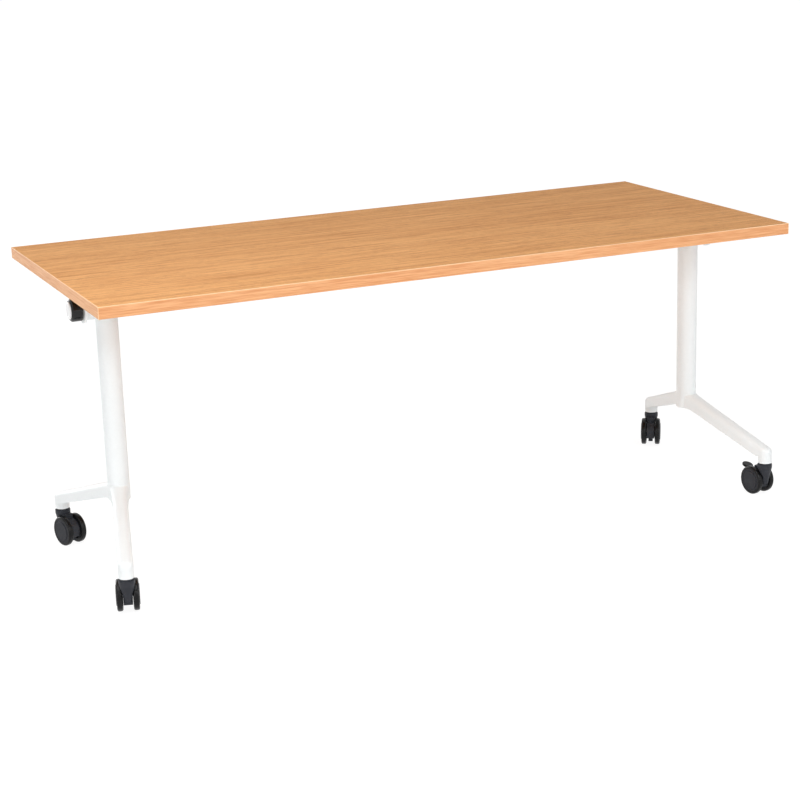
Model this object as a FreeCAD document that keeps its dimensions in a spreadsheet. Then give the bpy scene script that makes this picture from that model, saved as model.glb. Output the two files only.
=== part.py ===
# Flip-top mobile table: a banded board on two hinge brackets, two round columns on splayed cast feet,
# a cross beam, push-button friction hubs at both ends of the hinge line and four twin-wheel castors.
# Millimetres, +Z up, +X along the board, front edge towards -Y, origin on the floor under the board's centre.
import FreeCAD, Part
import math
import os
import re
from types import SimpleNamespace

import Sketcher
from FreeCAD import Placement, Rotation, Vector

SIZES = {
    # board
    "top_length": 1800,
    "top_width": 800,
    "top_thick": 28,
    "top_height": 730,
    "band_thick": 2,
    "band_round": 1.2,
    # hinge line, measured from the board
    "pivot_offset": 91,
    "pivot_drop": 42,
    # legs
    "column_inset": 101,
    "column_dia": 53,
    "column_wall": 2,
    "column_foot": 230,
    "seam_round": 0.8,
    "spigot_length": 40,
    "plug_thick": 10,
    "fit_gap": 0.1,
    # column head
    "head_skirt": 32,
    "barrel_dia": 54,
    "barrel_out": 51,
    "barrel_in": 27,
    "barrel_round": 3,
    "rest_reach": 64,
    "rest_width": 26,
    "rest_root": 37,
    "rest_thick": 12,
    "rest_pad": 27,
    "bumper_dia": 18,
    "bumper_height": 6,
    "bumper_seat": 2,
    # cross beam
    "beam_dia": 40,
    "beam_wall": 2.5,
    "beam_spigot": 30,
    "beam_screw_dia": 6,
    "beam_screw_length": 16,
    "beam_screw_head_dia": 10,
    "beam_screw_head_height": 4,
    # hinge bracket
    "plate_thick": 6,
    "flange_width": 74,
    "flange_front": 105,
    "flange_back": 125,
    "flange_corner": 12,
    "ear_radius": 33,
    "ear_spread": 60,
    "screw_dia": 5,
    "screw_length": 22,
    "screw_head_dia": 11,
    "screw_face_dia": 8,
    "screw_head_height": 3,
    "screw_inset": 14,
    # hinge hub
    "shaft_dia": 16,
    "run_gap": 0.05,
    "bush_wall": 2,
    "bush_flange": 1,
    "bush_flange_dia": 30,
    "disc_dia": 50,
    "disc_thick": 3,
    "hub_dia": 54,
    "hub_length": 26,
    "hub_floor": 8,
    "hub_bevel": 4,
    "hub_bevel_depth": 4,
    "hub_slot_length": 14,
    "hub_slot_width": 2.4,
    "hub_slot_depth": 1.6,
    "hub_slot_from": 6,
    "hub_slot_tilt": 32,
    "nut_height": 7,
    "nut_dia": 24,
    "button_dia": 41,
    "button_face": 5,
    "button_skirt": 6,
    "button_wall": 3,
    "button_proud": 3,
    "button_bevel": 3,
    "spring_wall": 3.5,
    # cast foot
    "front_splay": 71,
    "front_reach": 272,
    "back_splay": 71,
    "back_reach": 292,
    "arm_root_dia": 50,
    "arm_root_depth": 42,
    "arm_tip_depth": 20,
    "arm_tip_dia": 36,
    "arm_flare": 320,
    "arm_shoulder": 14,
    "arm_round": 14,
    "arm_knee_round": 40,
    "boss_dia": 36,
    "boss_height": 17,
    "crotch_round": 55,
    "foot_bolt_dia": 10,
    "foot_bolt_head": 17,
    "foot_bolt_head_height": 10,
    # castors
    "castor_height": 90,
    "castor_trail": 28,
    "wheel_dia": 75,
    "wheel_width": 14,
    "wheel_gap": 24,
    "wheel_core_dia": 62,
    "wheel_plate": 5,
    "wheel_rim_wall": 4,
    "wheel_hub_dia": 18,
    "wheel_ribs": 8,
    "wheel_rib_thick": 2,
    "wheel_rib_recess": 3,
    "wheel_cap_dia": 50,
    "wheel_cap_rise": 1.4,
    "wheel_groove": 1.5,
    "wheel_groove_depth": 0.6,
    "tyre_round": 4.5,
    "axle_dia": 8,
    "axle_end_gap": 0.5,
    "wheel_lip": 1,
    "wheel_clearance": 2,
    "collar_dia": 38,
    "collar_height": 13,
    "collar_rim": 5,
    "collar_step": 2,
    "swivel_gap": 0.3,
    "shield_foot_dia": 19,
    "shield_lift": 32,
    "web_width": 21.5,
    "web_dia": 56,
    "web_lift": 22,
    "tongue_width": 12,
    "tongue_length": 14,
    "tongue_drop": 11,
    "stem_dia": 11,
    "stem_insert": 32,
    "stem_hold": 30,
    # brake paddle
    "paddle_width": 26,
    "paddle_length": 32,
    "paddle_thick": 6,
    "paddle_round": 2,
    "paddle_reach": 67,
    "paddle_height": 63,
    "paddle_tilt": 12,
    "paddle_pin_dia": 4,
    "paddle_pin_out": 12,
    "paddle_pin_up": 17,
    "paddle_lug_dia": 11,
    "paddle_lug_width": 7.6,
    "paddle_slot_gap": 0.4,
    "neck_root_run": 4.4,
    "neck_root_rise": 3.3,
    "neck_tip": 4.8,
}

# plan direction in which each castor trails, in degrees from +X
TRAIL = {"front_left": 74, "front_right": 97, "back_left": -72, "back_right": -124}

doc = FreeCAD.newDocument("flip_top_table")
sheet = doc.addObject("Spreadsheet::Sheet", "Sheet")
for row, (name, value) in enumerate(SIZES.items(), 1):
    sheet.set(f"A{row}", name)
    sheet.set(f"B{row}", str(value))
    sheet.setAlias(f"B{row}", name)
doc.recompute()
size = SimpleNamespace(**{name: float(sheet.get(name)) for name in SIZES})

# heights and reaches that follow from the driving sizes
column_reach = size.top_length / 2 - size.column_inset
board_under = size.top_height - size.top_thick
pivot_y = -size.pivot_offset
pivot_z = board_under - size.pivot_drop
column_top = pivot_z - size.head_skirt
ear_from = size.barrel_out + size.bush_flange
disc_from = ear_from + size.plate_thick
hub_from = disc_from + size.disc_thick
axle_z = size.wheel_dia / 2

TURN = {"X": Rotation(Vector(0, 1, 0), 90), "Y": Rotation(Vector(1, 0, 0), -90), "Z": Rotation()}
subparts = []


def formula(text):
    """The same formula with every size name pointing at its cell."""
    return re.sub(r"[a-z][a-z_]+[a-z]", lambda m: "Sheet." + m[0] if m[0] in SIZES else m[0], text)


def bind(obj, **formulas):
    for prop, text in formulas.items():
        obj.setExpression(prop, formula(text))
    return obj


def at(x=0, y=0, z=0, turn=Rotation()):
    return Placement(Vector(x, y, z), turn)


def about_z(degrees):
    return Rotation(Vector(0, 0, 1), degrees)


def cylinder(name, dia, length, place=at(), along="Z"):
    obj = bind(doc.addObject("Part::Cylinder", name), Radius=f"({dia}) / 2", Height=length)
    obj.Placement = Placement(place.Base, place.Rotation.multiply(TURN[along]))
    return obj


def cone(name, low_dia, high_dia, height, place=at()):
    obj = bind(doc.addObject("Part::Cone", name), Radius1=f"({low_dia}) / 2", Radius2=f"({high_dia}) / 2",
               Height=height)
    obj.Placement = place
    return obj


def box(name, length, width, height, place=at()):
    obj = bind(doc.addObject("Part::Box", name), Length=length, Width=width, Height=height)
    obj.Placement = place
    return obj


def fuse(name, *shapes):
    obj = doc.addObject("Part::MultiFuse", name)
    obj.Shapes = list(shapes)
    obj.Refine = True
    return obj


def cut(name, base, *tools):
    obj = doc.addObject("Part::Cut", name)
    obj.Base = base
    obj.Tool = tools[0] if len(tools) == 1 else fuse(name + "_tools", *tools)
    return obj


def common(name, first, second):
    obj = doc.addObject("Part::Common", name)
    obj.Base = first
    obj.Tool = second
    return obj


def group(name, *solids):
    obj = doc.addObject("Part::Compound", name)
    obj.Links = list(solids)
    return obj


def rounded(name, base, radius, keep):
    """Fillet the edges of base that keep() accepts."""
    doc.recompute()
    obj = doc.addObject("Part::Fillet", name)
    obj.Base = base
    obj.Edges = [(i, radius, radius) for i, edge in enumerate(base.Shape.Edges, 1) if keep(edge)]
    return obj


def piece(obj, label, place=None):
    """Name a finished sub-part and set it in its place."""
    obj.Label = label
    if place is not None:
        obj.Placement = place
    subparts.append(obj)
    return obj


def plane_of(body, role):
    return next(p for p in body.Origin.OriginFeatures if p.Role == role)


def new_sketch(body, role, name):
    sketch = body.newObject("Sketcher::SketchObject", name)
    sketch.AttachmentSupport = [(plane_of(body, role), "")]
    sketch.MapMode = "FlatFace"
    return sketch


def draw_polygon(sketch, corners):
    """Closed outline whose corners are pairs of formulas."""
    points = [Vector(sheet.evalExpression(x), sheet.evalExpression(y), 0) for x, y in corners]
    count = len(points)
    for i, point in enumerate(points):
        sketch.addGeometry(Part.LineSegment(point, points[(i + 1) % count]))
    for i in range(count):
        sketch.addConstraint(Sketcher.Constraint("Coincident", i, 2, (i + 1) % count, 1))
    for i, (x, y) in enumerate(corners):
        for kind, text, value in (("DistanceX", x, points[i].x), ("DistanceY", y, points[i].y)):
            index = sketch.addConstraint(Sketcher.Constraint(kind, -1, 1, i, 1, value))
            sketch.setExpression(f"Constraints[{index}]", formula(text))


def draw_circle(sketch, dia):
    ring = sketch.addGeometry(Part.Circle(Vector(), Vector(0, 0, 1), sheet.evalExpression(dia) / 2))
    sketch.addConstraint(Sketcher.Constraint("Coincident", ring, 3, -1, 1))
    index = sketch.addConstraint(Sketcher.Constraint("Diameter", ring, sheet.evalExpression(dia)))
    sketch.setExpression(f"Constraints[{index}]", formula(dia))


def revolved(name, corners):
    """Body turned about Z from an outline of (radius, height) corners."""
    body = doc.addObject("PartDesign::Body", name)
    sketch = new_sketch(body, "XZ_Plane", name + "_profile")
    draw_polygon(sketch, corners)
    turn = body.newObject("PartDesign::Revolution", name + "_turn")
    turn.Profile = sketch
    turn.ReferenceAxis = (sketch, ["V_Axis"])
    turn.Angle = 360
    return body


def padded(name, role, draw, length, middle=False):
    """Body padded from a sketch that draw() fills."""
    body = doc.addObject("PartDesign::Body", name)
    sketch = new_sketch(body, role, name + "_outline")
    draw(sketch)
    pad = bind(body.newObject("PartDesign::Pad", name + "_pad"), Length=length)
    pad.Profile = sketch
    pad.Midplane = middle
    return body


def fillet_body(body, name, radius, keep):
    """Fillet the edges of a body's tip that keep() accepts."""
    doc.recompute()
    tip = body.Tip
    names = [f"Edge{i}" for i, edge in enumerate(tip.Shape.Edges, 1) if keep(edge)]
    fillet = bind(body.newObject("PartDesign::Fillet", name), Radius=radius)
    fillet.Base = (tip, names)
    return fillet


def is_circle(edge, radius):
    return isinstance(edge.Curve, Part.Circle) and abs(edge.Curve.Radius - radius) < 1e-6


def is_line_along(edge, axis):
    return isinstance(edge.Curve, Part.Line) and abs(edge.Curve.Direction.dot(axis)) > 0.999


def rectangle(length, width):
    x, y = f"({length}) / 2", f"({width}) / 2"
    return [(f"-{x}", f"-{y}"), (x, f"-{y}"), (x, y), (f"-{x}", y)]


def from_column(side, low, high):
    """Least x of a span that runs from low to high outwards of a column's axis."""
    return column_reach + low if side > 0 else -column_reach - high


def on_pivot(side, low, high):
    return at(from_column(side, low, high), pivot_y, pivot_z)


def screw_places(side):
    """Centres of one bracket's four screws under the board."""
    low = from_column(side, disc_from - size.flange_width, disc_from)
    across = (low + size.screw_inset, low + size.flange_width - size.screw_inset)
    along = (pivot_y - size.flange_front + size.screw_inset, pivot_y + size.flange_back - size.screw_inset)
    return [(x, y) for x in across for y in along]


# board with its edge bands
def make_board():
    core = padded("board_core", "XY_Plane", lambda sketch: draw_polygon(
        sketch, rectangle("top_length - 2 * band_thick", "top_width - 2 * band_thick")), "top_thick")
    core.Placement = at(z=board_under)
    depth = "screw_length - plate_thick + 2 * run_gap"
    holes = [cylinder(f"board_hole_{i}", "screw_dia + 2 * run_gap", depth, at(x, y, board_under))
             for i, (x, y) in enumerate(screw_places(-1) + screw_places(1))]
    piece(cut("board", core, *holes), "top_panel")


def make_bands():
    half_length, half_width = size.top_length / 2, size.top_width / 2
    long_bands = []
    for name, side in (("front", -1), ("back", 1)):
        low = min(side * half_width, side * (half_width - size.band_thick))
        strip = box(f"band_{name}", "top_length", "band_thick", "top_thick",
                    at(-half_length, low, board_under))
        long_bands.append(rounded(f"band_{name}_round", strip, size.band_round, lambda edge: (
            is_line_along(edge, Vector(1, 0, 0)) and abs(edge.CenterOfMass.y - side * half_width) < 1e-6)))
    piece(group("long_bands", *long_bands), "edge_band_long")
    short_bands = []
    for side, end in ENDS:
        low = min(side * half_length, side * (half_length - size.band_thick))
        strip = box(f"band_{end}", "band_thick", "top_width - 2 * band_thick", "top_thick",
                    at(low, size.band_thick - half_width, board_under))
        short_bands.append(rounded(f"band_{end}_round", strip, size.band_round, lambda edge: (
            is_line_along(edge, Vector(0, 1, 0)) and abs(edge.CenterOfMass.x - side * half_length) < 1e-6)))
    piece(group("short_bands", *short_bands), "edge_band_short")


# hinge bracket under each end of the board
def make_bracket(side, end):
    ear_place = on_pivot(side, ear_from, disc_from)
    flange_place = at(from_column(side, disc_from - size.flange_width, disc_from),
                      pivot_y - size.flange_front, board_under - size.plate_thick)
    blank = box(f"{end}_flange_blank", "flange_width", "flange_front + flange_back", "plate_thick",
                flange_place)
    flange = rounded(f"{end}_flange", blank, size.flange_corner,
                     lambda edge: is_line_along(edge, Vector(0, 0, 1)))
    reach = "pivot_drop - plate_thick"
    web = padded(f"{end}_ear_web", "YZ_Plane", lambda sketch: draw_polygon(
        sketch, [("-ear_spread", reach), ("-ear_radius", "0"), ("ear_radius", "0"), ("ear_spread", reach)]),
        "plate_thick")
    web.Placement = ear_place
    nose = cylinder(f"{end}_ear_nose", "2 * ear_radius", "plate_thick", ear_place, "X")
    bore = cylinder(f"{end}_ear_bore", "shaft_dia + 2 * run_gap + 2 * bush_wall + fit_gap", "plate_thick",
                    ear_place, "X")
    holes = [cylinder(f"{end}_flange_hole_{i}", "screw_dia + 2 * fit_gap", "plate_thick",
                      at(x, y, board_under - size.plate_thick))
             for i, (x, y) in enumerate(screw_places(side))]
    plate = fuse(f"{end}_bracket_plate", flange, web, nose)
    piece(cut(f"{end}_bracket", plate, bore, *holes), f"{end}_top_bracket")


def make_bracket_screws():
    screws = []
    for i, (x, y) in enumerate(screw_places(-1) + screw_places(1)):
        flange_under = board_under - size.plate_thick
        shank = cylinder(f"screw_shank_{i}", "screw_dia", "screw_length", at(x, y, flange_under))
        head = cone(f"screw_head_{i}", "screw_face_dia", "screw_head_dia", "screw_head_height",
                    at(x, y, flange_under - size.screw_head_height))
        screws.append(fuse(f"screw_{i}", shank, head))
    piece(group("bracket_screw_group", *screws), "bracket_screws")


# hinge hub: shaft, bush, friction disc, housing, spring ring and release button
def make_hub(side, end):
    away = Rotation(Vector(0, 1, 0), 90 * side)

    def outwards(distance):
        return at(side * (column_reach + distance), pivot_y, pivot_z, away)

    shaft_from = -size.barrel_in / 2
    shaft = cylinder(f"{end}_shaft_bar", "shaft_dia",
                     "barrel_in / 2 + barrel_out + bush_flange + plate_thick + disc_thick + hub_floor",
                     outwards(shaft_from))
    nut = cylinder(f"{end}_shaft_nut", "nut_dia", "nut_height", outwards(hub_from + size.hub_floor))
    piece(fuse(f"{end}_shaft", shaft, nut), f"{end}_pivot_shaft")

    bore, wall = "shaft_dia / 2 + run_gap", "shaft_dia / 2 + run_gap + bush_wall"
    bush = revolved(f"{end}_bush", [
        (bore, "0"), ("bush_flange_dia / 2", "0"), ("bush_flange_dia / 2", "bush_flange"),
        (wall, "bush_flange"), (wall, "bush_flange + plate_thick"), (bore, "bush_flange + plate_thick")])
    piece(bush, f"{end}_hinge_bush", outwards(size.barrel_out))

    disc = revolved(f"{end}_disc", [
        (bore, "0"), ("disc_dia / 2", "0"), ("disc_dia / 2", "disc_thick"), (bore, "disc_thick")])
    piece(disc, f"{end}_friction_disc", outwards(disc_from))

    mouth = "button_dia / 2 + run_gap"
    housing = revolved(f"{end}_housing", [
        (bore, "0"), ("hub_dia / 2", "0"), ("hub_dia / 2", "hub_length - hub_bevel"),
        ("hub_dia / 2 - hub_bevel_depth", "hub_length"), (mouth, "hub_length"), (mouth, "hub_floor"),
        (bore, "hub_floor")])
    housing.Placement = outwards(hub_from)
    slot_from = hub_from + size.hub_slot_from
    tilted = on_pivot(side, slot_from, slot_from + size.hub_slot_length)
    tilted.Rotation = Rotation(Vector(1, 0, 0), size.hub_slot_tilt)
    slot_place = tilted.multiply(at(0, -size.hub_dia / 2, -size.hub_slot_width / 2))
    slot = box(f"{end}_slot", "hub_slot_length", "hub_slot_depth", "hub_slot_width", slot_place)
    piece(cut(f"{end}_hub_shell", housing, slot), f"{end}_hub_housing")

    rim = "button_dia / 2"
    inside, face = f"{rim} - button_wall", "button_skirt + button_face"
    button = revolved(f"{end}_button", [
        ("0", "button_skirt"), (inside, "button_skirt"), (inside, "0"), (rim, "0"),
        (rim, f"{face} - button_proud"), (f"{rim} - button_bevel", face), ("0", face)])
    piece(button, f"{end}_release_button",
          outwards(hub_from + size.hub_length + size.button_proud - size.button_face - size.button_skirt))

    outer, spring_top = f"{inside} - 2 * fit_gap", "hub_length + button_proud - button_face - hub_floor"
    middle, inner = f"{outer} - spring_wall / 2", f"{outer} - spring_wall"
    spring = revolved(f"{end}_spring", [
        (middle, "0"), (outer, f"({spring_top}) / 2"), (middle, spring_top),
        (inner, spring_top), (middle, f"({spring_top}) / 2"), (inner, "0")])
    piece(spring, f"{end}_button_spring", outwards(hub_from + size.hub_floor))


# column tube with its welded plug
def make_column(side, end):
    def draw_tube(sketch):
        draw_circle(sketch, "column_dia")
        draw_circle(sketch, "column_dia - 2 * column_wall")

    tube = padded(f"{end}_tube", "XY_Plane", draw_tube,
                  "top_height - top_thick - pivot_drop - head_skirt - column_foot")
    fillet_body(tube, f"{end}_tube_seams", "seam_round", lambda edge: is_circle(edge, size.column_dia / 2))
    tube.Placement = at(side * column_reach, pivot_y, size.column_foot)
    plug_place = at(side * column_reach, pivot_y, size.column_foot + size.spigot_length)
    plug = cylinder(f"{end}_plug", "column_dia - column_wall", "plug_thick", plug_place)
    hole = cylinder(f"{end}_plug_hole", "foot_bolt_dia + 2 * run_gap", "plug_thick", plug_place)
    piece(cut(f"{end}_column_solid", fuse(f"{end}_column_weld", tube, plug), hole), f"{end}_column")


# cast head on each column, with the hinge barrel, the beam spigot and the board rest
def make_head(side, end):
    axis = at(side * column_reach, pivot_y, pivot_z)
    inner = "column_dia - 2 * column_wall - 2 * fit_gap"
    skirt_bar = cylinder(f"{end}_skirt_bar", "column_dia", "head_skirt",
                         at(axis.Base.x, pivot_y, column_top))
    skirt = rounded(f"{end}_skirt", skirt_bar, size.seam_round, lambda edge: (
        is_circle(edge, size.column_dia / 2) and edge.CenterOfMass.z < column_top + size.seam_round))
    spigot = cylinder(f"{end}_head_spigot", inner, "spigot_length",
                      at(axis.Base.x, pivot_y, column_top - size.spigot_length))
    barrel_bar = cylinder(f"{end}_barrel_bar", "barrel_dia", "barrel_in + barrel_out",
                          on_pivot(side, -size.barrel_in, size.barrel_out), "X")
    barrel = rounded(f"{end}_barrel", barrel_bar, size.barrel_round, lambda edge: (
        is_circle(edge, size.barrel_dia / 2) and abs(edge.CenterOfMass.x) < column_reach))
    tenon = cylinder(f"{end}_tenon", "beam_dia - 2 * beam_wall - 2 * fit_gap", "beam_spigot",
                     on_pivot(side, -size.barrel_in - size.beam_spigot, -size.barrel_in), "X")
    rest_top = "pivot_drop - plate_thick - bumper_height + bumper_seat"
    rest = padded(f"{end}_rest", "YZ_Plane", lambda sketch: draw_polygon(sketch, [
        ("0", "-rest_root / 2"), ("rest_reach", f"{rest_top} - rest_thick"), ("rest_reach", rest_top),
        ("rest_reach - rest_pad", rest_top), ("0", "rest_root / 2")]), "rest_width", True)
    rest.Placement = axis
    seat = cylinder(f"{end}_bumper_seat", "bumper_dia + 2 * fit_gap", "bumper_seat", bumper_place(side))
    bore = cylinder(f"{end}_shaft_bore", "shaft_dia + 2 * run_gap", "barrel_in / 2 + barrel_out",
                    on_pivot(side, -size.barrel_in / 2, size.barrel_out), "X")
    screw_hole = cylinder(f"{end}_tenon_hole", "beam_screw_dia + 2 * run_gap", "beam_dia / 2",
                          beam_screw_place(side))
    solid = fuse(f"{end}_head_cast", skirt, spigot, barrel, tenon, rest)
    piece(cut(f"{end}_head", solid, seat, bore, screw_hole), f"{end}_column_head")


def bumper_place(side):
    return at(side * column_reach, pivot_y + size.rest_reach - size.rest_pad / 2,
              board_under - size.plate_thick - size.bumper_height)


def beam_screw_place(side):
    return at(side * (column_reach - size.barrel_in - size.beam_spigot / 2), pivot_y,
              pivot_z - size.beam_dia / 2)


def make_bumpers():
    pads = [cylinder(f"bumper_{end}", "bumper_dia", "bumper_height", bumper_place(side))
            for side, end in ENDS]
    piece(group("bumper_group", *pads), "rest_bumpers")


# beam between the heads
def make_beam():
    def draw_tube(sketch):
        draw_circle(sketch, "beam_dia")
        draw_circle(sketch, "beam_dia - 2 * beam_wall")

    tube = padded("beam_tube", "YZ_Plane", draw_tube, "top_length - 2 * (column_inset + barrel_in)", True)
    tube.Placement = at(0, pivot_y, pivot_z)
    holes = [cylinder(f"beam_hole_{end}", "beam_screw_dia + 2 * run_gap", "beam_dia / 2",
                      beam_screw_place(side))
             for side, end in ENDS]
    piece(cut("beam", tube, *holes), "cross_beam")
    screws = []
    for side, end in ENDS:
        place = beam_screw_place(side)
        shank = cylinder(f"beam_screw_shank_{end}", "beam_screw_dia", "beam_screw_length", place)
        head = cylinder(f"beam_screw_head_{end}", "beam_screw_head_dia", "beam_screw_head_height",
                        at(place.Base.x, place.Base.y, place.Base.z - size.beam_screw_head_height))
        screws.append(fuse(f"beam_screw_{end}", shank, head))
    piece(group("beam_screw_group", *screws), "beam_screws")


# one arm of a foot: a tapered outline seen from the side, crossed with a bar that widens at the column
def draw_arm_plan(sketch, length):
    """Straight bar with a round tip, which two hollow arcs widen into a circle at the column."""
    near, far, reach = size.arm_root_dia / 2, size.arm_tip_dia / 2, sheet.evalExpression(length)
    flare = size.arm_flare
    flare_x = math.sqrt((near + flare) ** 2 - (far + flare) ** 2)
    root_angle = math.atan2(far + flare, flare_x)
    quarter = math.pi / 2
    normal = Vector(0, 0, 1)
    tip = Vector(reach, 0, 0)
    high_centre, low_centre = Vector(flare_x, far + flare, 0), Vector(flare_x, -far - flare, 0)
    for shape in (
            Part.LineSegment(Vector(flare_x, far, 0), Vector(reach, far, 0)),
            Part.LineSegment(Vector(flare_x, -far, 0), Vector(reach, -far, 0)),
            Part.ArcOfCircle(Part.Circle(tip, normal, far), -quarter, quarter),
            Part.ArcOfCircle(Part.Circle(Vector(), normal, near), root_angle, 2 * math.pi - root_angle),
            Part.ArcOfCircle(Part.Circle(high_centre, normal, flare), root_angle - math.pi, -quarter),
            Part.ArcOfCircle(Part.Circle(low_centre, normal, flare), quarter, math.pi - root_angle)):
        sketch.addGeometry(shape)
    high, low, tip_arc, root_arc, high_flare, low_flare = range(6)
    for first, first_end, second, second_end in (
            (high, 2, tip_arc, 2), (low, 2, tip_arc, 1), (high, 1, high_flare, 2), (low, 1, low_flare, 1),
            (high_flare, 1, root_arc, 1), (low_flare, 2, root_arc, 2)):
        sketch.addConstraint(Sketcher.Constraint("Tangent", first, first_end, second, second_end))
    for line in (high, low):
        sketch.addConstraint(Sketcher.Constraint("Horizontal", line))
    sketch.addConstraint(Sketcher.Constraint("Coincident", root_arc, 3, -1, 1))
    sketch.addConstraint(Sketcher.Constraint("PointOnObject", tip_arc, 3, -1))
    for constraint, text in (
            (("DistanceX", -1, 1, tip_arc, 3, reach), length),
            (("Radius", root_arc, near), "arm_root_dia / 2"),
            (("Radius", tip_arc, far), "arm_tip_dia / 2"),
            (("Radius", high_flare, flare), "arm_flare"),
            (("Radius", low_flare, flare), "arm_flare")):
        index = sketch.addConstraint(Sketcher.Constraint(*constraint))
        sketch.setExpression(f"Constraints[{index}]", formula(text))


def make_arm(name, length, place):
    tip_under = "castor_height + boss_height"
    tip_top = f"{tip_under} + arm_tip_depth"
    far = f"{length} + arm_tip_dia / 2"
    fall = f"(column_foot - ({tip_top})) / ({far} - arm_shoulder)"
    root_top = f"column_foot + (arm_shoulder + arm_root_dia / 2) * {fall}"
    crotch = "column_foot - arm_root_depth"
    side_view = padded(f"{name}_side", "XZ_Plane", lambda sketch: draw_polygon(sketch, [
        ("-arm_root_dia / 2", root_top), (far, tip_top), (far, tip_under),
        (f"{length} - arm_tip_dia / 2", tip_under), ("column_dia / 2", crotch),
        ("-arm_root_dia / 2", crotch)]), "arm_root_dia + arm_tip_dia", True)
    across = Vector(0, 1, 0)
    fillet_body(side_view, f"{name}_crotch", "crotch_round", lambda edge: (
        is_line_along(edge, across) and abs(edge.CenterOfMass.x - size.column_dia / 2) < 1e-6))
    knee_x = sheet.evalExpression(f"{length} - arm_tip_dia / 2")
    fillet_body(side_view, f"{name}_knee", "arm_knee_round", lambda edge: (
        is_line_along(edge, across) and abs(edge.CenterOfMass.x - knee_x) < 1e-6))
    plan_view = padded(f"{name}_plan", "XY_Plane", lambda sketch: draw_arm_plan(sketch, length), root_top)
    slope = sheet.evalExpression(fall)

    def on_top(edge):
        middle = edge.CenterOfMass
        return abs(middle.z - size.column_foot + (middle.x - size.arm_shoulder) * slope) < 1e-6

    blank = common(f"{name}_blank", side_view, plan_view)
    bar = rounded(f"{name}_top_round", blank, size.arm_round, on_top)
    above = box(f"{name}_above", "2 * arm_root_dia", "2 * arm_root_dia", "column_foot",
                at(-size.arm_root_dia, -size.arm_root_dia, size.column_foot))
    arm = cut(f"{name}_trim", bar, above)
    arm.Placement = place
    return arm


def make_foot(side, end):
    axis = at(side * column_reach, pivot_y)
    front_turn = math.degrees(math.atan2(-size.front_reach, side * size.front_splay))
    back_turn = math.degrees(math.atan2(size.back_reach, side * size.back_splay))
    front = make_arm(f"{end}_front_arm", FRONT_ARM, at(axis.Base.x, pivot_y, 0, about_z(front_turn)))
    back = make_arm(f"{end}_back_arm", BACK_ARM, at(axis.Base.x, pivot_y, 0, about_z(back_turn)))
    crotch_z = size.column_foot - size.arm_root_depth
    hub_bar = cylinder(f"{end}_foot_hub_bar", "column_dia", "arm_root_depth",
                       at(axis.Base.x, pivot_y, crotch_z))
    hub = rounded(f"{end}_foot_hub", hub_bar, size.seam_round, lambda edge: (
        is_circle(edge, size.column_dia / 2) and edge.CenterOfMass.z > size.column_foot - size.seam_round))
    spigot = cylinder(f"{end}_foot_spigot", "column_dia - 2 * column_wall - 2 * fit_gap",
                      "arm_root_depth + spigot_length", at(axis.Base.x, pivot_y, crotch_z))
    bosses = [cylinder(f"{corner}_boss", "boss_dia", "boss_height + arm_tip_depth / 2", castor_top(corner))
              for corner in TRAIL if corner.endswith(end)]
    sockets = [cylinder(f"{corner}_socket", "stem_dia + 2 * run_gap", "stem_insert", castor_top(corner))
               for corner in TRAIL if corner.endswith(end)]
    bolt_hole = cylinder(f"{end}_bolt_hole", "foot_bolt_dia + 2 * fit_gap", "arm_root_depth + spigot_length",
                         at(axis.Base.x, pivot_y, crotch_z))
    counterbore = cylinder(f"{end}_counterbore", "foot_bolt_head + 2 * fit_gap", "foot_bolt_head_height",
                           at(axis.Base.x, pivot_y, crotch_z))
    solid = fuse(f"{end}_foot_cast", front, back, hub, spigot, *bosses)
    piece(cut(f"{end}_foot_solid", solid, bolt_hole, counterbore, *sockets), f"{end}_foot")


def make_foot_bolts():
    bolts = []
    for side, end in ENDS:
        base = at(side * column_reach, pivot_y, size.column_foot - size.arm_root_depth)
        head = cylinder(f"bolt_head_{end}", "foot_bolt_head", "foot_bolt_head_height", base)
        shank = cylinder(f"bolt_shank_{end}", "foot_bolt_dia",
                         "arm_root_depth + spigot_length + plug_thick", base)
        bolts.append(fuse(f"foot_bolt_{end}", head, shank))
    piece(group("foot_bolt_group", *bolts), "foot_bolts")


# castors, built with the stem on Z, the trail along +X and the axle along Y
def castor_top(corner):
    """Where a castor's swivel axis meets the underside of its boss."""
    side = -1 if corner.endswith("left") else 1
    front = corner.startswith("front")
    splay = size.front_splay if front else size.back_splay
    reach = -size.front_reach if front else size.back_reach
    return at(side * (column_reach + splay), pivot_y + reach, size.castor_height)


def castor_floor(corner):
    top = castor_top(corner).Base
    return at(top.x, top.y, 0, about_z(TRAIL[corner]))


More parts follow.
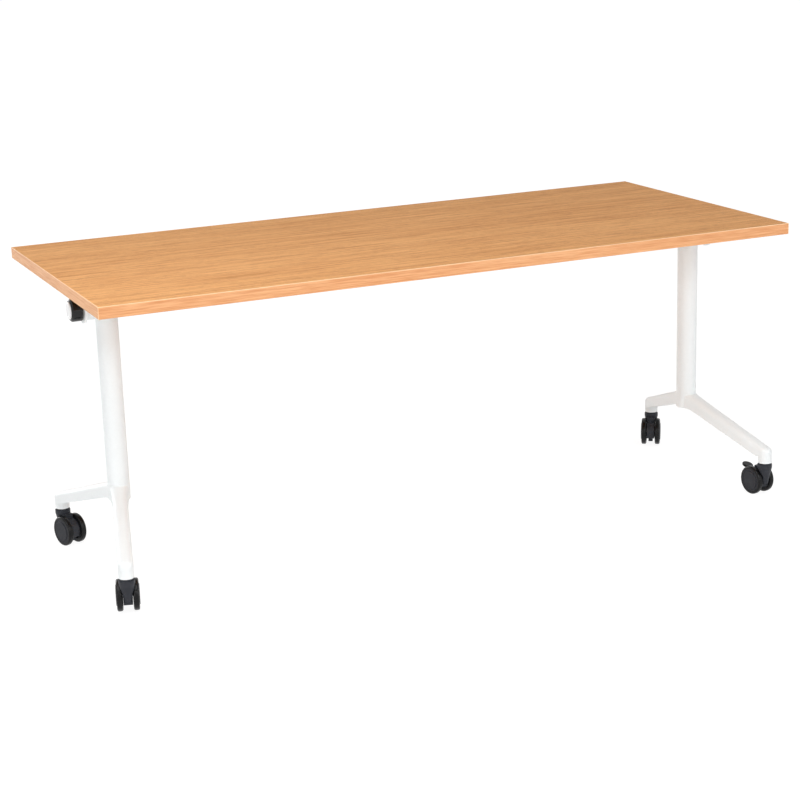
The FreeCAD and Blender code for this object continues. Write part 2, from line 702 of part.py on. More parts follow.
def make_castor_body(corner, braked):
    clear = "wheel_dia + 2 * wheel_clearance"
    collar_from = size.castor_height - size.collar_height
    half_web = size.web_width / 2
    collar = cylinder(f"{corner}_collar", "collar_dia", "collar_height - collar_rim", at(z=collar_from))
    rim = cylinder(f"{corner}_rim", "collar_dia - 2 * collar_step", "collar_height - swivel_gap",
                   at(z=collar_from))
    shield = cone(f"{corner}_shield", "shield_foot_dia", "collar_dia",
                  "castor_height - collar_height - shield_lift", at(z=size.shield_lift))
    neck = box(f"{corner}_neck", "castor_trail", "web_width", "castor_height - collar_height - web_lift",
               at(0, -half_web, size.web_lift))
    on_axle = at(size.castor_trail, -half_web, axle_z)
    disc = cylinder(f"{corner}_web_disc", "web_dia", "web_width", on_axle, "Y")
    floor = box(f"{corner}_web_floor", "2 * web_dia", "web_width", "web_lift", at(-size.web_dia, -half_web))
    tongue = box(f"{corner}_tongue", "tongue_length", "tongue_width", "2 * tongue_drop",
                 at(size.castor_trail, -size.tongue_width / 2, size.web_lift - size.tongue_drop))
    rooms = [cylinder(f"{corner}_wheel_room_{i}", clear, "collar_dia", at(size.castor_trail, y, axle_z), "Y")
             for i, y in enumerate((half_web, -half_web - size.collar_dia))]
    web = cut(f"{corner}_web", disc, floor)
    solid = fuse(f"{corner}_body_moulding", collar, rim, shield, neck, web, tongue)
    bores = [cylinder(f"{corner}_stem_bore", "stem_dia + 2 * run_gap", "stem_hold + swivel_gap",
                      at(z=size.castor_height - size.stem_hold - size.swivel_gap)),
             cylinder(f"{corner}_axle_bore", "axle_dia + 2 * run_gap", "web_width", on_axle, "Y")]
    if braked:
        pin_x, pin_z = paddle_pin()
        slot_half = size.paddle_lug_width / 2 + size.paddle_slot_gap
        lug_low = size.paddle_lug_dia / 2 + size.paddle_slot_gap
        bores.append(box(f"{corner}_paddle_slot", "web_dia", "paddle_lug_width + 2 * paddle_slot_gap",
                         "web_dia", at(pin_x - lug_low, -slot_half, pin_z - lug_low)))
        bores.append(cylinder(f"{corner}_paddle_bore", "paddle_pin_dia + 2 * run_gap", "web_width",
                              at(pin_x, -half_web, pin_z), "Y"))
    moulding = cut(f"{corner}_castor_moulding", solid, *rooms, *bores)
    piece(moulding, f"{corner}_castor_body", castor_floor(corner))


def paddle_pin():
    return size.castor_trail + size.paddle_pin_out, axle_z + size.paddle_pin_up


def make_paddle(corner):
    pin_x, pin_z = paddle_pin()
    half_lug, half_web = size.paddle_lug_width / 2, size.web_width / 2
    lug = cylinder(f"{corner}_lug", "paddle_lug_dia", "paddle_lug_width", at(pin_x, -half_lug, pin_z), "Y")
    pin = cylinder(f"{corner}_trunnion", "paddle_pin_dia", "web_width", at(pin_x, -half_web, pin_z), "Y")
    x, z = "castor_trail + paddle_pin_out", "wheel_dia / 2 + paddle_pin_up"
    neck = padded(f"{corner}_paddle_neck", "XZ_Plane", lambda sketch: draw_polygon(sketch, [
        (f"{x} - neck_root_run", f"{z} + neck_root_rise"), (f"{x} + neck_root_run", f"{z} - neck_root_rise"),
        ("paddle_reach", "paddle_height"), ("paddle_reach", "paddle_height + neck_tip")]),
        "paddle_lug_width", True)
    outline = bind(doc.addObject("Part::Ellipse", f"{corner}_pad_outline"), MajorRadius="paddle_length / 2",
                   MinorRadius="paddle_width / 2")
    slab = bind(doc.addObject("Part::Extrusion", f"{corner}_pad_slab"), LengthFwd="paddle_thick")
    slab.Base = outline
    slab.DirMode = "Custom"
    slab.Dir = Vector(0, 0, 1)
    slab.Solid = True
    pad = rounded(f"{corner}_pad", slab, size.paddle_round, lambda edge: isinstance(edge.Curve, Part.Ellipse))
    pad.Placement = at(size.paddle_reach, 0, size.paddle_height,
                       Rotation(Vector(0, 1, 0), -size.paddle_tilt))
    piece(fuse(f"{corner}_paddle", lug, pin, neck, pad), f"{corner}_brake_paddle", castor_floor(corner))


def make_wheels(corner):
    floor = castor_floor(corner)
    half_gap = size.wheel_gap / 2
    depth = "wheel_width - wheel_plate"
    axle_from = half_gap + size.wheel_width - size.wheel_plate - size.axle_end_gap
    axle = cylinder(f"{corner}_axle_bar", "axle_dia", f"wheel_gap + 2 * ({depth} - axle_end_gap)",
                    floor.multiply(at(size.castor_trail, -axle_from, axle_z)), "Y")
    piece(axle, f"{corner}_axle")
    inwards = math.copysign(1, floor.Base.x * math.sin(math.radians(TRAIL[corner])))
    for name, facing in (("inner", inwards), ("outer", -inwards)):
        place = floor.multiply(at(size.castor_trail, facing * half_gap, axle_z,
                                  Rotation(Vector(1, 0, 0), -90 * facing)))
        bore, hub, core = "axle_dia / 2 + run_gap", "wheel_hub_dia / 2", "wheel_core_dia / 2"
        inside, cap = f"{core} - wheel_rim_wall", "wheel_cap_dia / 2"
        groove, face = "wheel_width - wheel_groove_depth", "wheel_width + wheel_cap_rise"
        disc = revolved(f"{corner}_{name}_core", [
            ("0", depth), (bore, depth), (bore, "0"), (hub, "0"), (hub, depth), (inside, depth),
            (inside, "wheel_lip"), (core, "wheel_lip"), (core, "wheel_width - wheel_lip"),
            (f"{core} - wheel_lip", "wheel_width"), (f"{cap} + wheel_groove", "wheel_width"),
            (f"{cap} + wheel_groove", groove), (cap, groove), (cap, "wheel_width"),
            (f"{cap} - wheel_cap_rise", face), ("0", face)])
        rib_from, rib_length = "(wheel_hub_dia + axle_dia) / 4", f"{core} - wheel_rim_wall / 2"
        rib_corner = at(sheet.evalExpression(rib_from), -size.wheel_rib_thick / 2, size.wheel_rib_recess)
        ribs = [box(f"{corner}_{name}_rib_{i}", f"{rib_length} - {rib_from}", "wheel_rib_thick",
                    f"{depth} - wheel_rib_recess + wheel_lip",
                    at(turn=about_z(360 * i / size.wheel_ribs)).multiply(rib_corner))
                for i in range(int(size.wheel_ribs))]
        piece(fuse(f"{corner}_{name}_wheel_solid", disc, *ribs), f"{corner}_{name}_wheel", place)
        seat, tread = f"{core} + run_gap", "wheel_dia / 2"
        tyre = revolved(f"{corner}_{name}_tread", [
            (seat, "0"), (tread, "0"), (tread, "wheel_width"), (seat, "wheel_width")])
        fillet_body(tyre, f"{corner}_{name}_tread_round", "tyre_round",
                    lambda edge: is_circle(edge, size.wheel_dia / 2))
        piece(tyre, f"{corner}_{name}_tyre", place)


def make_castor(corner):
    braked = corner.startswith("front")
    top = castor_top(corner).Base
    stem = cylinder(f"{corner}_stem_bar", "stem_dia", "stem_hold + stem_insert",
                    at(top.x, top.y, top.z - size.stem_hold))
    piece(stem, f"{corner}_castor_stem")
    make_castor_body(corner, braked)
    make_wheels(corner)
    if braked:
        make_paddle(corner)


ENDS = ((-1, "left"), (1, "right"))
FRONT_ARM = "sqrt(front_splay^2 + front_reach^2)"
BACK_ARM = "sqrt(back_splay^2 + back_reach^2)"

make_board()
make_bands()
make_bracket_screws()
make_bumpers()
make_beam()
make_foot_bolts()
for side, end in ENDS:
    make_bracket(side, end)
    make_hub(side, end)
    make_column(side, end)
    make_head(side, end)
    make_foot(side, end)
for corner in TRAIL:
    make_castor(corner)

doc.recompute()
for obj in doc.Objects:
    faults = [word for word in obj.State if word in ("Invalid", "Error")]
    if faults:
        raise RuntimeError(f"{obj.Label}: {faults}")
for obj in subparts:
    if obj.Shape.isNull() or not obj.Shape.isValid():
        raise RuntimeError(f"{obj.Label}: no valid shape")
os.makedirs("parts", exist_ok=True)
for obj in subparts:
    obj.Shape.exportStep(f"parts/{obj.Label}.step")
print(len(subparts), "sub-parts,", sum(len(obj.Shape.Solids) for obj in subparts), "solids")
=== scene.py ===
import bpy
import numpy as np
from mathutils import Matrix, Vector


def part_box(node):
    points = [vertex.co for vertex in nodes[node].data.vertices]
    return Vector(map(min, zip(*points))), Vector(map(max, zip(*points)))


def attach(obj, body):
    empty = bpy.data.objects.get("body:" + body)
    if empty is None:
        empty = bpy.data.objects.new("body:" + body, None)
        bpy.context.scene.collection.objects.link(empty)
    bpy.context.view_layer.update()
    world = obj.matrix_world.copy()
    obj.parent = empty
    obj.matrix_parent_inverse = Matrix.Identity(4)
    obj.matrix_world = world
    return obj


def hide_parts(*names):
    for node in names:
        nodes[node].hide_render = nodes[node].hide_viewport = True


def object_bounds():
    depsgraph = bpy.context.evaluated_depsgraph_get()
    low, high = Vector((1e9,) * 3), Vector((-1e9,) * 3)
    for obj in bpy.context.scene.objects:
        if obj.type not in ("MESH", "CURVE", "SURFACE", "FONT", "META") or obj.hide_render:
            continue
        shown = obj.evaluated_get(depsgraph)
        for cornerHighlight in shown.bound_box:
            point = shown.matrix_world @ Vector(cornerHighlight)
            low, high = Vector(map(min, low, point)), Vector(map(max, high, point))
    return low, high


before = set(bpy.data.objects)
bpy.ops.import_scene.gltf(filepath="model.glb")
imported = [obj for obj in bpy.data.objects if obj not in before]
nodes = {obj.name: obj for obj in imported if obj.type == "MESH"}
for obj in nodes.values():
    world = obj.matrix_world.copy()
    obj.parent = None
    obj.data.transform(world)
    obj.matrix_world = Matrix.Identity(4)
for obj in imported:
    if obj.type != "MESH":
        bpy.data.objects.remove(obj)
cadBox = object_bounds()


# shader maths as Python: Sock wraps a socket, Finish makes a material and its nodes
class Sock:
    def __init__(self, finish, socket):
        self.finish = finish
        self.socket = socket

    def __add__(self, other):
        return self.finish.maths("ADD", self, other)

    def __radd__(self, other):
        return self.finish.maths("ADD", other, self)

    def __sub__(self, other):
        return self.finish.maths("SUBTRACT", self, other)

    def __rsub__(self, other):
        return self.finish.maths("SUBTRACT", other, self)

    def __mul__(self, other):
        return self.finish.maths("MULTIPLY", self, other)

    def __rmul__(self, other):
        return self.finish.maths("MULTIPLY", other, self)

    def __abs__(self):
        return self.finish.maths("ABSOLUTE", self)


class Finish:
    def __init__(self, name, shelf=bpy.data.materials):
        self.owner = shelf.new(name)
        self.owner.use_nodes = True
        self.tree = self.owner.node_tree
        self.tree.nodes.clear()

    def node(self, kind, settings=None, sockets=None, out=0):
        made = self.tree.nodes.new(kind)
        for key, value in (settings or {}).items():
            if key == "stops":
                self.setStops(made.color_ramp, value)
            else:
                setattr(made, key, value)
        for key, value in (sockets or {}).items():
            if isinstance(value, Sock):
                self.tree.links.new(value.socket, made.inputs[key])
            else:
                made.inputs[key].default_value = value
        return Sock(self, made.outputs[out]) if len(made.outputs) else made

    def setStops(self, ramp, stops):
        while len(ramp.elements) < len(stops):
            ramp.elements.new(1.0)
        for element, (place, color) in zip(ramp.elements, stops):
            element.position = place
            element.color = color

    def maths(self, operation, *values):
        return self.node("ShaderNodeMath", {"operation": operation}, dict(enumerate(values)))

    def axis(self, name):
        # one object coordinate, in metres
        spot = self.node("ShaderNodeTexCoord", out="Object")
        return self.node("ShaderNodeSeparateXYZ", {}, {0: spot}, out=name)

    def noise(self, cells, detail=2.0, rough=0.5, twist=0.0):
        # cells is how many the noise has per metre along X, Y and Z
        spot = self.node("ShaderNodeTexCoord", out="Object")
        place = self.node("ShaderNodeMapping", {}, {"Vector": spot, "Scale": cells})
        return self.node("ShaderNodeTexNoise", {"noise_dimensions": "3D"}, {
            "Vector": place, "Scale": 1.0, "Detail": detail, "Roughness": rough, "Distortion": twist})

    def speckle(self, cells, detail=2.0):
        return self.noise((cells, cells, cells), detail)

    def grain(self, along, across, alongX=True, **settings):
        # noise drawn out along the board or across it
        cells = (along, across, across) if alongX else (across, along, across)
        return self.noise(cells, **settings)

    def smooth(self, value, low, high):
        # 0 below low, 1 above high
        return self.node("ShaderNodeMapRange", {"interpolation_type": "SMOOTHSTEP"}, {
            "Value": value, "From Min": low, "From Max": high})

    def mix(self, amount, first, second):
        return self.node("ShaderNodeMix", {"data_type": "RGBA"}, {
            "Factor": amount, 6: first, 7: second}, out=2)  # 6 and 7 are its colour sockets

    def bump(self, height, depth):
        return self.node("ShaderNodeBump", {}, {"Height": height, "Distance": depth})

    def surface(self, **sockets):
        named = {key.replace("_", " "): value for key, value in sockets.items()}
        shader = self.node("ShaderNodeBsdfPrincipled", {}, named)
        self.node("ShaderNodeOutputMaterial", {}, {"Surface": shader})
        return self.owner

    def seen(self):
        # 1 for rays that come from the camera, also by way of metal or glass
        camera, glossy, through = (self.node("ShaderNodeLightPath", out=f"Is {kind} Ray")
                                   for kind in ("Camera", "Glossy", "Transmission"))
        return self.maths("MAXIMUM", camera, self.maths("MAXIMUM", glossy, through))


def srgb(red, green, blue):
    # 0-255 screen colour to linear, with alpha
    channel = np.array((red, green, blue)) / 255
    linear = np.where(channel <= 0.04045, channel / 12.92, ((channel + 0.055) / 1.055) ** 2.4)
    return (*linear.tolist(), 1.0)


def dress(material, names):
    for name in names:
        mesh = nodes[name].data
        mesh.materials.clear()
        mesh.materials.append(material)


def ends(*names):
    return [f"{end}_{name}" for end in ("left", "right") for name in names]


def corners(*names):
    return [f"{depth}_{name}" for depth in ("front", "back") for name in ends(*names)]


# wood-grain laminate of the board: noise cells per metre along the grain, which is X, and across it
laminateLook = {
    "cloud": {"along": 1.1, "across": 9, "detail": 1.0},  # slow drift of tone
    "broad": {"along": 2.4, "across": 60, "rough": 0.55, "twist": 0.15},  # streaks about 17 mm wide
    "streak": {"along": 3, "across": 155, "rough": 0.65, "twist": 0.1},  # streaks about 6 mm wide
    "fibre": {"along": 30, "across": 520, "rough": 0.6},
    "cluster": {"along": 12, "across": 220},  # long bands where flecks crowd
    "fleck": {"along": 60, "across": 950, "detail": 1.0},  # dashes about 16 by 1 mm
    "pore": {"along": 190, "across": 1900, "detail": 1.0},  # about 5 by 0.5 mm
    "cloudShare": 0.12,
    "broadShare": 0.06,
    "streakShare": 0.64,
    "fibreShare": 0.18,
    "stops": [(0.4, srgb(206, 144, 88)), (0.5, srgb(225, 165, 107)), (0.6, srgb(236, 178, 119))],  # by tone
    "clusterFade": (0.4, 0.62),
    "fleckFade": (0.46, 0.6),
    "poreFade": (0.58, 0.68),
    "markColor": srgb(166, 110, 64),
    "fleckDark": 0.58,
    "poreDark": 0.18,
    "fibreRise": 0.6,  # shares of the relief
    "poreSink": 0.8,
    "relief": 0.00012,  # metres
    "rough": 0.56,
    "roughSpread": 0.1,
    "gloss": 0.05,
}


def laminate():
    look = laminateLook
    f = Finish("board_laminate")
    cloud, broad, streak, fibre = (f.grain(**look[name]) for name in ("cloud", "broad", "streak", "fibre"))
    tone = (broad * look["broadShare"] + streak * look["streakShare"]
            + cloud * look["cloudShare"] + fibre * look["fibreShare"])
    color = f.node("ShaderNodeValToRGB", {"stops": look["stops"]}, {"Fac": tone})
    clusters = f.smooth(f.grain(**look["cluster"]), *look["clusterFade"])
    flecks = f.smooth(f.grain(**look["fleck"]), *look["fleckFade"])
    pores = f.smooth(f.grain(**look["pore"]), *look["poreFade"])
    color = f.mix(flecks * clusters * look["fleckDark"] + pores * look["poreDark"], color, look["markColor"])
    return f.surface(Base_Color=color, Specular_IOR_Level=look["gloss"],
                     Roughness=look["rough"] + fibre * look["roughSpread"] + pores * look["roughSpread"],
                     Normal=f.bump(fibre * look["fibreRise"] - pores * look["poreSink"], look["relief"]))


# printed plastic edging, streaks along the edge, with a painted highlight on the top edge that is partly the
# paler trimmed edge, and a painted highlight down the end corners
edgingLook = {
    # the trim share on each face is how strong the painted top-edge highlight is there
    "long": {"light": srgb(237, 180, 132), "dark": srgb(215, 147, 98), "topHighlightShare": 0.8},
    "short": {"light": srgb(239, 186, 141), "dark": srgb(219, 157, 110), "topHighlightShare": 0.45},
    "streak": {"along": 2.4, "across": 300, "detail": 3.0, "rough": 0.6, "twist": 0.2},
    "fibre": {"along": 14, "across": 620},
    "streakShare": 0.45,
    "fibreShare": 0.55,
    "toneFade": (0.38, 0.62),
    # painted highlight colour, partly the paler trimmed edge of the band; the end corners use it as a painted
    # highlight
    "trimAndHighlight": srgb(250, 214, 172),
    "highlightWidth": 0.0021,
    "highlightFull": 0.4,  # share of that width, next to the edge, where the painted highlight is palest
    # strength of the painted highlight down the vertical corners at the board's ends
    "cornerHighlightShare": 0.7,
    "relief": 0.00008,
    "rough": 0.46,
    "roughSpread": 0.08,
    "gloss": 0.12,
}


def nearEdge(f, place, edge):
    # 0 before the strip of painted highlight begins, 1 close to the edge
    width = edgingLook["highlightWidth"]
    return f.smooth(place, edge - width, edge - width * edgingLook["highlightFull"])


def edging(name, alongX):
    look = edgingLook
    tones = look["long" if alongX else "short"]
    f = Finish(name)
    streak = f.grain(alongX=alongX, **look["streak"])
    fibre = f.grain(alongX=alongX, **look["fibre"])
    tone = f.smooth(streak * look["streakShare"] + fibre * look["fibreShare"], *look["toneFade"])
    color = f.mix(tone, tones["dark"], tones["light"])
    # painted highlight along the top edge, partly the paler trimmed edge of the band
    topHighlight = nearEdge(f, f.axis("Z"), cadBox[1].z)
    color = f.mix(topHighlight * tones["topHighlightShare"], color, look["trimAndHighlight"])
    if alongX:
        # painted highlight down the vertical corner at each end of the long edging
        cornerHighlight = nearEdge(f, abs(f.axis("X")), cadBox[1].x)
        color = f.mix(cornerHighlight * look["cornerHighlightShare"], color, look["trimAndHighlight"])
    return f.surface(Base_Color=color, Specular_IOR_Level=look["gloss"],
                     Roughness=look["rough"] + fibre * look["roughSpread"],
                     Normal=f.bump(fibre, look["relief"]))


# satin powder coat with a slight orange peel
coatLook = {
    "color": srgb(240, 244, 245),
    "shade": srgb(238, 242, 243),
    "drift": 160,  # noise cells per metre
    "driftFade": (0.3, 0.7),
    "peel": 900,
    "peelDepth": 0.00006,
    "rough": 0.38,
    "roughSpread": 0.1,
    "coat": 0.12,
}


def powderCoat():
    look = coatLook
    f = Finish("white_powder_coat")
    peel = f.speckle(look["peel"], detail=1.0)
    drift = f.speckle(look["drift"], detail=3.0)
    return f.surface(Base_Color=f.mix(f.smooth(drift, *look["driftFade"]), look["shade"], look["color"]),
                     Roughness=look["rough"] + peel * look["roughSpread"],
                     Normal=f.bump(peel, look["peelDepth"]), Coat_Weight=look["coat"])


# moulded plastics and rubbers, told apart by colour, grain (cells per metre, depth in metres) and gloss
mouldedLook = {
    "gloss_black_plastic": {"color": srgb(13, 13, 14), "rough": 0.12, "grain": 300, "depth": 0.00002,
                            "gloss": 0.34, "on": ends("hub_housing")},
    "satin_black_nylon": {"color": srgb(44, 46, 52), "rough": 0.4, "grain": 1500, "depth": 0.00005,
                          "gloss": 0.22, "on": corners("castor_body")},
    "paddle_nylon": {"color": srgb(11, 11, 12), "rough": 0.26, "grain": 900, "depth": 0.00004,
                     "gloss": 0.16, "on": ["front_left_brake_paddle", "front_right_brake_paddle"]},
    "wheel_nylon": {"color": srgb(41, 42, 47), "rough": 0.5, "grain": 2200, "depth": 0.00008,
                    "gloss": 0.2, "on": corners("inner_wheel", "outer_wheel")},
    "tyre_rubber": {"color": srgb(10, 10, 12), "rough": 0.22, "grain": 600, "depth": 0.00002,
                    "gloss": 0.22, "on": corners("inner_tyre", "outer_tyre")},
    "grey_bearing_plastic": {"color": srgb(150, 150, 148), "rough": 0.45, "grain": 1200, "depth": 0.00005,
                             "on": ends("hinge_bush", "friction_disc")},
    "black_rubber": {"color": srgb(34, 34, 35), "rough": 0.7, "grain": 900, "depth": 0.0001,
                     "on": ["rest_bumpers", *ends("button_spring")]},
    "white_cap": {"color": srgb(238, 238, 238), "rough": 0.3, "grain": 1200, "depth": 0.00003,
                  "pale": 0.01, "coat": 0.2, "on": []},  # worn by the turned caps below
}
mouldedCommon = {"pale": 0.12, "lift": 0.02, "coat": 0.0, "gloss": 0.5, "drift": 60,
                 "driftFade": (0.35, 0.65), "roughSpread": 0.12}


def moulded(name):
    # the colour drifts to one that is paler by a share of itself and of a small lift
    look = {**mouldedCommon, **mouldedLook[name]}
    f = Finish(name)
    speck = f.speckle(look["grain"])
    drift = f.smooth(f.speckle(look["drift"]), *look["driftFade"])
    paler = [min(1.0, c * (1 + look["pale"]) + look["pale"] * look["lift"]) for c in look["color"][:3]]
    return f.surface(Base_Color=f.mix(drift, look["color"], (*paler, 1.0)),
                     Roughness=look["rough"] + speck * look["roughSpread"],
                     Normal=f.bump(speck, look["depth"]), Coat_Weight=look["coat"],
                     Specular_IOR_Level=look["gloss"])


# zinc-plated steel
steelLook = {"dark": srgb(176, 178, 182), "light": srgb(204, 206, 210), "spangle": 420,
             "spangleFade": (0.35, 0.65), "rough": 0.28, "roughSpread": 0.14}


def zincSteel():
    look = steelLook
    f = Finish("zinc_steel")
    spangle = f.speckle(look["spangle"])
    return f.surface(Base_Color=f.mix(f.smooth(spangle, *look["spangleFade"]), look["dark"], look["light"]),
                     Metallic=1.0, Roughness=look["rough"] + spangle * look["roughSpread"])


steel = zincSteel()
plastics = {name: moulded(name) for name in mouldedLook}
dress(laminate(), ["top_panel"])
dress(edging("edging_long", True), ["edge_band_long"])
dress(edging("edging_short", False), ["edge_band_short"])
dress(powderCoat(), ["cross_beam", *ends("column", "column_head", "foot", "top_bracket")])
dress(steel, ends("pivot_shaft") + corners("castor_stem", "axle"))
for plastic, material in plastics.items():
    dress(material, mouldedLook[plastic]["on"])
print("finishes:", len(bpy.data.materials))


# a profile carried round Z: ring k is a circle of radius[k]
def circles(radius, sectors):
    angle = np.linspace(0, 2 * np.pi, sectors, endpoint=False)
    return radius[:, None] * np.cos(angle), radius[:, None] * np.sin(angle)


# quads between each ring and the next, and a fan of triangles from the first and last ring to a pole on Z
def closedRings(x, y, z, lowPole, topPole):
    rings, sectors = x.shape
    poles = [(0, 0, lowPole), (0, 0, topPole)]
    points = np.concatenate([np.stack([x, y, z], axis=-1).reshape(-1, 3), poles])
    first = np.arange(sectors)
    second = (first + 1) % sectors
    start = (np.arange(rings - 1) * sectors)[:, None]
    above = start + sectors
    last = (rings - 1) * sectors
    quads = np.stack([start + first, start + second, above + second, above + first], axis=-1)
    low = np.stack([np.full(sectors, rings * sectors), second, first], axis=-1)
    top = np.stack([last + first, last + second, np.full(sectors, rings * sectors + 1)], axis=-1)
    return points, quads.reshape(-1, 4), np.concatenate([low, top])


turnedLook = {"sharpAngle": 40}  # degrees


def addTurned(node, body, material, points, quads, fans):
    mesh = bpy.data.meshes.new(f"{node}_turned")
    mesh.from_pydata(points.tolist(), [], quads.tolist() + fans.tolist())
    mesh.polygons.foreach_set("use_smooth", np.ones(len(mesh.polygons), dtype=bool))
    mesh.set_sharp_from_angle(angle=np.radians(turnedLook["sharpAngle"]))
    mesh.materials.append(material)
    piece = bpy.data.objects.new(f"{node}_turned", mesh)
    bpy.context.scene.collection.objects.link(piece)
    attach(piece, body)
    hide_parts(node)


# release caps, in metres: a dished face with a ring groove, a rounded edge and a hollow skirt
capLook = {"rim": 0.0205, "edge": 0.003, "wall": 0.003, "thick": 0.005, "dish": 0.0005, "grooveAt": 0.0135,
           "grooveHalf": 0.0012, "grooveDeep": 0.0009, "faceRings": 60, "edgeRings": 8, "sectors": 96}


def makeCaps():
    # depth of the face = dish * (1 - (r / flat)^2) plus a groove that falls and rises as sine squared
    look = capLook
    flat = look["rim"] - look["edge"]
    inside = look["rim"] - look["wall"]
    face = np.linspace(0, flat, look["faceRings"] + 1)[1:]
    groove = np.clip(1 - abs(face - look["grooveAt"]) / look["grooveHalf"], 0, 1)
    sunk = look["dish"] * (1 - (face / flat) ** 2) + look["grooveDeep"] * np.sin(groove * np.pi / 2) ** 2
    bend = np.linspace(0, np.pi / 2, look["edgeRings"] + 1)[1:]
    radius = np.concatenate([face, flat + look["edge"] * np.sin(bend), [look["rim"], inside, inside]])
    x, y = circles(radius, look["sectors"])
    for end, outward in (("left", -1), ("right", 1)):
        low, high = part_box(f"{end}_release_button")
        deep = high.x - low.x
        middle = (low + high) / 2
        height = np.concatenate([sunk, look["edge"] * (1 - np.cos(bend)), [deep, deep, look["thick"]]]) - deep
        z = np.broadcast_to(height[:, None], x.shape)
        points, quads, fans = closedRings(x, y, z, look["dish"] - deep, look["thick"] - deep)
        # the cap's Z runs inwards along X; the two orders of axes are both plain turns
        order = [2, 0, 1] if outward < 0 else [2, 1, 0]
        points = points[:, order] * (-outward, 1, 1) + (middle.x - outward * deep / 2, middle.y, middle.z)
        addTurned(f"{end}_release_button", f"{end}_button", plastics["white_cap"],
                  points, quads, fans)


# screws, in metres, head down: the head's seat is at z 0 and its face at -high
# columns are counted inwards from the outermost screw at each end of the table, rows from the middle
screwLook = {
    "bracket_screws": {"body": "top", "recess": "cross", "barHalf": 0.0026, "armHalf": 0.0006, "deep": 0.0016,
                       "face": 0.0042, "head": 0.0055, "high": 0.003, "shank": 0.0025, "dome": 0.0003,
                       "edge": 0.0006, "columns": (0.046, 0), "rows": (-0.101, 0.101)},
    "beam_screws": {"body": "frame", "recess": "hexagon", "acrossFlats": 0.004, "deep": 0.002,
                    "face": 0.005, "head": 0.005, "high": 0.004, "shank": 0.003, "dome": 0.0,
                    "edge": 0.0006, "columns": (0,), "rows": (0,)},
    "foot_bolts": {"body": "frame", "recess": "hexagon", "acrossFlats": 0.008, "deep": 0.005,
                   "face": 0.0085, "head": 0.0085, "high": 0.01, "shank": 0.005, "dome": 0.0,
                   "edge": 0.001, "columns": (0,), "rows": (0,)},
}
# how finely a screw is drawn, and how wide the sloping wall of its recess is
screwGrid = {"faceRings": 22, "edgeRings": 5, "sectors": 48, "soft": 0.00035}


def recessMask(look, x, y):
    # 1 inside the recess, 0 outside: a cross of two bars, or a hexagon as the largest of three widths
    if look["recess"] == "cross":
        lengthways = np.minimum(look["armHalf"] - abs(x), look["barHalf"] - abs(y))
        crossways = np.minimum(look["armHalf"] - abs(y), look["barHalf"] - abs(x))
        inside = np.maximum(lengthways, crossways)
    else:
        turn = np.radians([0, 60, 120])[:, None, None]
        inside = look["acrossFlats"] / 2 - abs(x * np.cos(turn) + y * np.sin(turn)).max(axis=0)
    return np.clip(0.5 + inside / screwGrid["soft"], 0, 1)


def screwShape(look, shankLength):
    # profile turned about Z: domed face, rounded edge, flared side, seat, shank
    # face points in the recess sink by its depth
    face, edge, high, shank, dome = (look[name] for name in ("face", "edge", "high", "shank", "dome"))
    flat = np.linspace(0, face - edge, screwGrid["faceRings"] + 1)[1:]
    bend = np.linspace(0, np.pi / 2, screwGrid["edgeRings"] + 1)[1:]
    radius = np.concatenate([flat, face - edge + edge * np.sin(bend), [look["head"], shank, shank]])
    height = np.concatenate([dome * (flat / face) ** 2 - high, dome - high + edge * (1 - np.cos(bend)),
                             [0, 0, shankLength]])
    x, y = circles(radius, screwGrid["sectors"])
    z = np.broadcast_to(height[:, None], x.shape).copy()
    z[:len(flat)] += look["deep"] * recessMask(look, x[:len(flat)], y[:len(flat)])
    return closedRings(x, y, z, look["deep"] - high, shankLength)


def makeScrews():
    for node, look in screwLook.items():
        low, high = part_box(node)
        seat = low.z + look["high"]
        outer = high.x - look["head"]
        middle = (low.y + high.y) / 2
        places = np.array([(side * (outer - inward), middle + row, seat)
                           for side in (-1, 1) for inward in look["columns"] for row in look["rows"]])
        points, quads, fans = screwShape(look, high.z - seat)
        step = (np.arange(len(places)) * len(points))[:, None, None]
        addTurned(node, look["body"], steel, (points[None] + places[:, None]).reshape(-1, 3),
                  (quads[None] + step).reshape(-1, 4), (fans[None] + step).reshape(-1, 3))
        print(node, len(places))


makeCaps()
makeScrews()
print("caps and screws are made")


# white surroundings to the camera, soft light from the sky, and a soft shadow on the floor
stageLook = {
    "half": 30.0,  # half the floor's side, in metres
    "floor": srgb(250, 250, 250),
    "glow": 0.8,  # share of white in the floor that the camera sees
    "floorWhite": 1.15,
    "sky": 0.5,  # strength of the sky that lights the object
    "skyWhite": 1.0,  # strength of the sky that the camera sees
    "white": (1, 1, 1, 1),
}


def makeFloor():
    look = stageLook
    half = look["half"]
    mesh = bpy.data.meshes.new("studio_floor")
    square = [(-half, -half, 0), (half, -half, 0), (half, half, 0), (-half, half, 0)]
    mesh.from_pydata(square, [], [(0, 1, 2, 3)])
    floor = bpy.data.objects.new("studio_floor", mesh)
    bpy.context.scene.collection.objects.link(floor)
    f = Finish("studio_floor")
    plain = f.node("ShaderNodeBsdfDiffuse", {}, {"Color": look["floor"]})
    white = f.node("ShaderNodeEmission", {}, {"Color": look["white"], "Strength": look["floorWhite"]})
    both = f.node("ShaderNodeMixShader", {}, {0: f.seen() * look["glow"], 1: plain, 2: white})
    f.node("ShaderNodeOutputMaterial", {}, {"Surface": both})
    mesh.materials.append(f.owner)


def makeWorld():
    look = stageLook
    f = Finish("studio", bpy.data.worlds)
    soft = f.node("ShaderNodeBackground", {}, {"Color": look["white"], "Strength": look["sky"]})
    white = f.node("ShaderNodeBackground", {}, {"Color": look["white"], "Strength": look["skyWhite"]})
    both = f.node("ShaderNodeMixShader", {}, {0: f.seen(), 1: soft, 2: white})
    f.node("ShaderNodeOutputWorld", {}, {"Surface": both})
    bpy.context.scene.world = f.owner


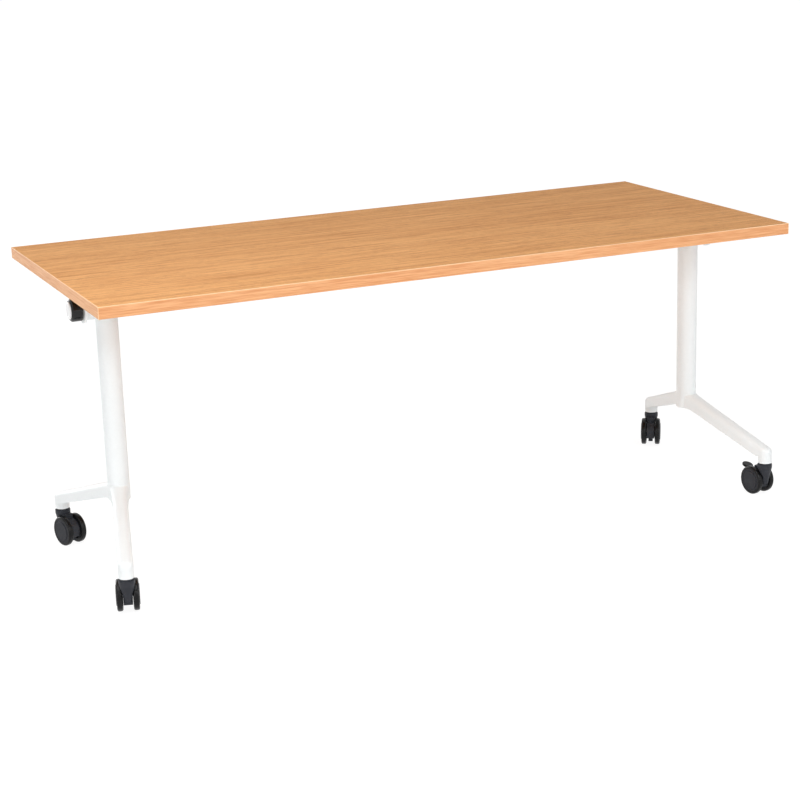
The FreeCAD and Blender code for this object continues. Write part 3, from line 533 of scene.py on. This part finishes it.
# soft boxes, in metres
lightLook = {
    "key": {"place": (-1.3, -1.0, 2.4), "aim": (-0.95, -0.95, 0.7), "size": 1.5, "watts": 26},
    "front": {"place": (-7.5, -5.2, 1.6), "aim": (0, 0, 0.4), "size": 4.2, "watts": 128},
    "side": {"place": (1.2, -3.8, 1.9), "aim": (0.5, -0.1, 0.4), "size": 2.2, "watts": 50},
    "rear": {"place": (-2.5, 5.5, 1.4), "aim": (0.2, 0, 0.4), "size": 2.6, "watts": 84},
    "spark": {"place": (-1.6, -4.2, 2.6), "aim": (0, 0, 0.4), "size": 0.3, "watts": 8},
}


def makeLights():
    for name, look in lightLook.items():
        lamp = bpy.data.lights.new(name, "AREA")
        lamp.size = look["size"]
        lamp.energy = look["watts"]
        box = bpy.data.objects.new(name, lamp)
        box.location = look["place"]
        box.rotation_euler = (Vector(look["aim"]) - Vector(look["place"])).to_track_quat("-Z", "Y").to_euler()
        bpy.context.scene.collection.objects.link(box)


# camera at the photograph's view: place in metres, angles in degrees, lens and sensor in millimetres
viewLook = {"place": (-1.9384, -4.3263, 1.6255), "heading": 23.98, "dip": 15.66, "roll": -1.77, "lens": 85.44,
            "sensor": 36}


def makeCamera():
    heading, dip, roll = np.radians([viewLook["heading"], viewLook["dip"], viewLook["roll"]])
    ahead = Vector((np.sin(heading) * np.cos(dip), np.cos(heading) * np.cos(dip), -np.sin(dip)))
    level = Vector((np.cos(heading), -np.sin(heading), 0))
    upright = level.cross(ahead)
    right = level * np.cos(roll) + upright * np.sin(roll)
    up = upright * np.cos(roll) - level * np.sin(roll)
    lens = bpy.data.cameras.new("camera")
    lens.lens = viewLook["lens"]
    lens.sensor_width = viewLook["sensor"]
    camera = bpy.data.objects.new("camera", lens)
    turn = Matrix((right, up, -ahead)).transposed().to_4x4()
    camera.matrix_world = Matrix.Translation(Vector(viewLook["place"])) @ turn
    bpy.context.scene.collection.objects.link(camera)
    bpy.context.scene.camera = camera


makeFloor()
makeWorld()
makeLights()
makeCamera()
bpy.context.scene.view_settings.view_transform = "Standard"
print("stage, lights and camera are set")
